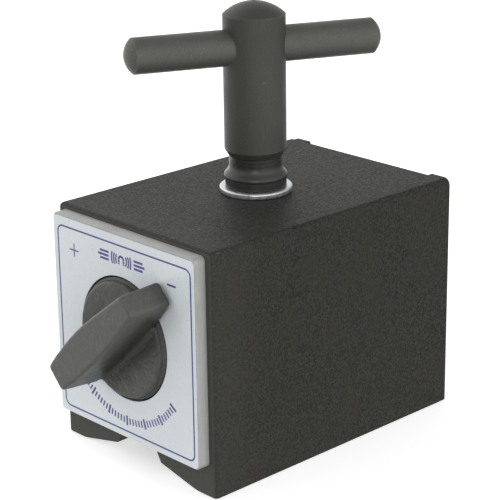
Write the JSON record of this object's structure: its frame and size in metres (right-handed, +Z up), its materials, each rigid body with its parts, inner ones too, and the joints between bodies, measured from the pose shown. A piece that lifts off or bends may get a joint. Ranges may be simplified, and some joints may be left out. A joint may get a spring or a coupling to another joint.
{
  "type": "welding magnet holder",
  "caption": "Switchable magnetic block with a V sole, a front turning knob and a T-handle screw clamp on top for holding a cable lug or bracket while welding.",
  "frame": {"origin": "middle of the sole, in the plane of its flat strips; the T-handle stands 0.4 mm in front of it", "axes": "+X right as seen from the knob's side, +Y from the knob to the rear cover, +Z up, along the T-handle"},
  "size_m": [0.05, 0.0872, 0.0976],
  "materials": {
    "body_paint": "black wrinkle paint over steel, fine grain",
    "spacer_alloy": "non-magnetic alloy strip, painted over where it shows",
    "plate_zinc": "satin cast alloy",
    "label_film": "white printed film, smooth",
    "cover_black": "black wrinkle paint",
    "knob_cast": "dark grey cast metal, lightly rough",
    "handle_black": "matte blackened steel",
    "collar_black": "turned, blackened and oiled",
    "stud_black": "blackened thread",
    "zinc_bright": "bright zinc plate",
    "screw_black": "blackened",
    "steel_plain": "ground",
    "brass_plain": "turned",
    "magnet_dark": "sintered ferrite, ground"
  },
  "bodies": {
    "base": {"left_pole": "body_paint", "right_pole": "body_paint", "top_spacer": "spacer_alloy", "slot_spacer": "spacer_alloy", "front_plate": "plate_zinc", "front_plate_screws": "zinc_bright", "front_label": "label_film", "rear_cover": "cover_black", "rear_cover_screws": "screw_black", "front_bush": "brass_plain", "stop_pin": "steel_plain", "rear_bush": "brass_plain"},
    "switch": {"switch_knob": "knob_cast", "knob_screw": "zinc_bright", "rotor_front_cap": "brass_plain", "rotor_magnet": "magnet_dark", "rotor_upper_pole": "steel_plain", "rotor_lower_pole": "steel_plain", "rotor_rear_cap": "brass_plain", "rotor_tie_screws": "zinc_bright"},
    "clamp_foot": {"flat_washer": "zinc_bright", "clamp_collar": "collar_black"},
    "t_handle": {"clamp_stud": "stud_black", "stud_retaining_ring": "stud_black", "handle_hub": "handle_black", "handle_bar": "handle_black"}
  },
  "joints": [
    {"name": "knob_turn", "type": "hinge", "parent": "base", "child": "switch", "pos_m": [0, 0, 0.0305], "axis": [0, -1, 0], "range_deg": [0, 90]},
    {"name": "clamp_lift", "type": "slide", "parent": "base", "child": "clamp_foot", "axis": [0, 0, 1], "range_m": [0, 0.00375]},
    {"name": "handle_turn", "type": "hinge", "parent": "clamp_foot", "child": "t_handle", "pos_m": [0, -0.0004, 0], "axis": [0, 0, 1], "range_deg": [0, 1080]}
  ],
  "couplings": [
    {"joint": "clamp_lift", "follows": "handle_turn", "m_per_rad": 0.00019894}
  ]
}
